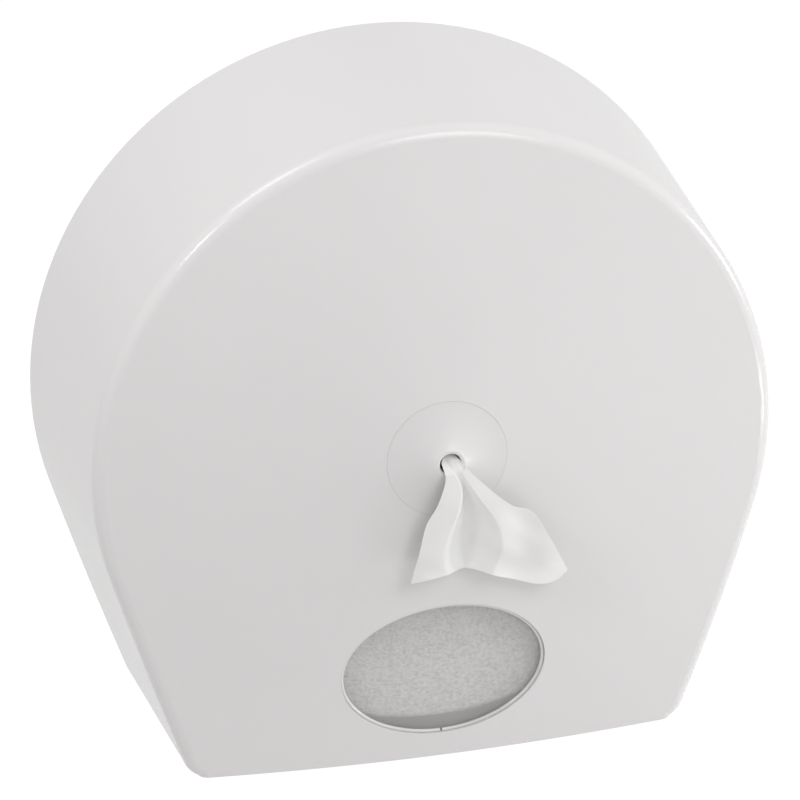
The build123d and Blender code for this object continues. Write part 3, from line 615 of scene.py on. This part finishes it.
def eased(points, share):
    """A smooth line through a few points, at a share of its way."""
    points = np.array(points, float)
    reach = np.clip(share, 0, 1) * (len(points) - 1)
    start = np.minimum(reach.astype(int), len(points) - 2)
    part = (reach - start)[..., None]
    padded = np.vstack([2 * points[0] - points[1], points, 2 * points[-1] - points[-2]])
    before, first, second, after = (padded[start + i] for i in range(4))
    return 0.5 * (
        2 * first
        + (second - before) * part
        + (2 * before - 5 * first + 4 * second - after) * part ** 2
        + (3 * first - before - 3 * second + after) * part ** 3
    )


# The sheet is spanned between its four edges.
over, down = np.meshgrid(np.linspace(0, 1, columns), np.linspace(0, 1, rows))
left, right = eased(left_edge, down), eased(right_edge, down)
neck, torn = eased(neck_edge, over), eased(torn_edge, over)
neck_left, torn_left = np.array(left_edge[0]), np.array(left_edge[-1])
neck_right, torn_right = np.array(right_edge[0]), np.array(right_edge[-1])
over_3, down_3 = over[..., None], down[..., None]
flat_place = (
    (1 - over_3) * left + over_3 * right + (1 - down_3) * neck + down_3 * torn
    - (1 - over_3) * (1 - down_3) * neck_left - (1 - over_3) * down_3 * torn_left
    - over_3 * (1 - down_3) * neck_right - over_3 * down_3 * torn_right
)
x, z = flat_place[..., 0], flat_place[..., 1]


def soft_step(value, start, end):
    """0 before start and 1 after end, with no kink between."""
    share = np.clip((value - start) / (end - start), 0, 1)
    return share * share * (3 - 2 * share)


def on_the_way(first, *changes):
    """A size that starts at first, and changes by so much between two distances below the nozzle."""
    size = first
    for change, start, end in changes:
        size = size + change * soft_step(fallen, start, end)
    return size


# Two lobes stand forward of the crease, and the right one leans back towards its free edge.
top = -4
bottom = 60
tail_length = 58.0
crest_roundness = 1.12
right_lean = 0.10
left_curl = 0.9
left_reach = 16
fallen = np.clip(-z, top, bottom)
crease = eased(crease_places, (fallen - top) / (bottom - top))[..., 0]
left_width = on_the_way(1.5, (9.5, 8, 42))
right_width = on_the_way(2.6, (13.4, 6, 38), (-4.0, 42, 56))
valley = on_the_way(0.3, (-4.2, 3, 26), (4.0, 40, 54))
crest = on_the_way(1.6, (3.4, 2, 24), (-1.6, 42, 56))
left_rise = soft_step(crease - x, 0, left_width)
right_rise = 1 - (1 - np.clip((x - crease) / right_width, 0, 1)) ** crest_roundness
forward = valley + (crest - valley) * np.where(x < crease, left_rise, right_rise)
right_wing = np.clip(x - crease - right_width, 0, None)
left_wing = np.clip(crease - left_width - x, 0, None)
forward -= right_lean * right_wing * (0.2 + np.clip(-z / tail_length, 0, 1))
forward -= left_curl * (left_wing / left_reach) ** 2

# Faint waves, of a large and a small size in millimetres, cross the sheet in random directions.
draw = np.random.default_rng(7)
waves_of_a_size = 4
for size, height in ((27.0, 0.34), (12.0, 0.06)):
    for _ in range(waves_of_a_size):
        heading = draw.uniform(0, 2 * pi)
        phase = draw.uniform(0, 2 * pi)
        length = size * draw.uniform(0.8, 1.3)
        ripple = np.sin((x * cos(heading) + z * sin(heading)) * 2 * pi / length + phase)
        forward += height * ripple * soft_step(fallen, 6, 30)
curl = 1.2
curl_start = 0.88
forward += curl * np.clip((down - curl_start) / (1 - curl_start), 0, 1) ** 2

# The top sinks into the bore. The rest hangs back towards the dome, along the photograph's line of sight,
# so that its outline stays where the photograph has it.
bore_reach = 5.6
bore_softness = 1.2
sink_start = -5.0
sink_way = 8.5
sink_depth = 9.0
clearance = 0.75
hang = 6.8
slide_right = 0.246
slide_down = 0.46
nozzle_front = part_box("nozzle")[0][1]
hang_back = hang * soft_step(fallen, 4, 62)
inside_bore = np.clip((bore_reach - np.hypot(x, z)) / bore_softness, 0, 1)
sink = sink_depth * np.clip((z - sink_start) / sink_way, 0, 1) ** 2 * inside_bore
depth = -nozzle_front / millimetre + clearance + forward - sink - hang_back
sheet_points = np.stack([x + hang_back * slide_right, -depth, z - hang_back * slide_down], -1)
grid = np.arange(columns * rows).reshape(rows, columns)
sheet_faces = np.stack([grid[:-1, :-1], grid[1:, :-1], grid[1:, 1:], grid[:-1, 1:]], -1).reshape(-1, 4)
tail_mesh = bpy.data.meshes.new("tissue_sheet")
tail_mesh.from_pydata((sheet_points.reshape(-1, 3) * millimetre).tolist(), [], sheet_faces.tolist())
tail_mesh.shade_smooth()
tail_mesh.materials.append(soft_paper)
tail = put("tissue_sheet", tail_mesh)
two_plies = tail.modifiers.new("two plies", "SOLIDIFY")
two_plies.thickness = 0.00022
two_plies.offset = 0
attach(tail, "cover")
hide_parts("tissue_tail")
